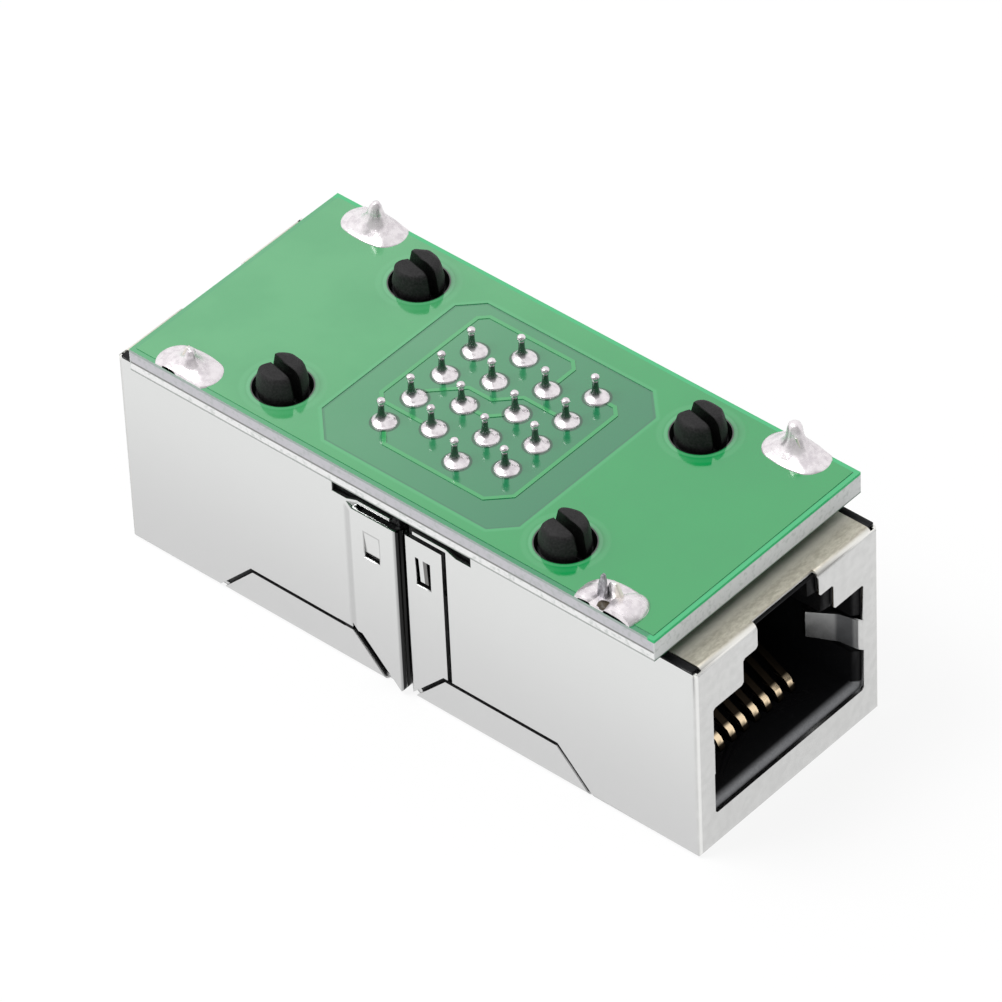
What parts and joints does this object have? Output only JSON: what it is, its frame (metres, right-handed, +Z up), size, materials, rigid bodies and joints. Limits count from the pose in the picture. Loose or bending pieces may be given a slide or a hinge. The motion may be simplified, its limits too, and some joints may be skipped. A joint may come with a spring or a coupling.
{
  "type": "inline modular coupler",
  "caption": "Shielded inline coupler for modular network plugs: metal-shelled sockets back to back and upside down under a green circuit board that joins their pins.",
  "frame": {"origin": "middle of the underside of the whole part", "axes": "+X runs along the coupler towards jack A, +Y is on the right when jack A's mouth is seen from in front, +Z is up through the circuit board"},
  "size_m": [0.0426, 0.0176, 0.0179],
  "materials": {
    "board_laminate": "green solder mask over glass-filled laminate, satin gloss",
    "shield_metal": "thin plated sheet, satin, with faint rolling marks",
    "black_moulding": "black glass-filled moulding, matte",
    "gold_contact": "gold-plated spring strip, bright",
    "solder": "bright tin solder"
  },
  "bodies": {
    "root": {"circuit_board": "board_laminate", "shell_a": "shield_metal", "housing_a": "black_moulding", "contact_insert_a": "black_moulding", "contact_a1": "gold_contact", "pin_solder_a1": "solder", "contact_a2": "gold_contact", "pin_solder_a2": "solder", "contact_a3": "gold_contact", "pin_solder_a3": "solder", "contact_a4": "gold_contact", "pin_solder_a4": "solder", "contact_a5": "gold_contact", "pin_solder_a5": "solder", "contact_a6": "gold_contact", "pin_solder_a6": "solder", "contact_a7": "gold_contact", "pin_solder_a7": "solder", "contact_a8": "gold_contact", "pin_solder_a8": "solder", "tab_solder_a_left": "solder", "tab_solder_a_right": "solder", "shell_b": "shield_metal", "housing_b": "black_moulding", "contact_insert_b": "black_moulding", "contact_b1": "gold_contact", "pin_solder_b1": "solder", "contact_b2": "gold_contact", "pin_solder_b2": "solder", "contact_b3": "gold_contact", "pin_solder_b3": "solder", "contact_b4": "gold_contact", "pin_solder_b4": "solder", "contact_b5": "gold_contact", "pin_solder_b5": "solder", "contact_b6": "gold_contact", "pin_solder_b6": "solder", "contact_b7": "gold_contact", "pin_solder_b7": "solder", "contact_b8": "gold_contact", "pin_solder_b8": "solder", "tab_solder_b_left": "solder", "tab_solder_b_right": "solder"}
  },
  "joints": []
}
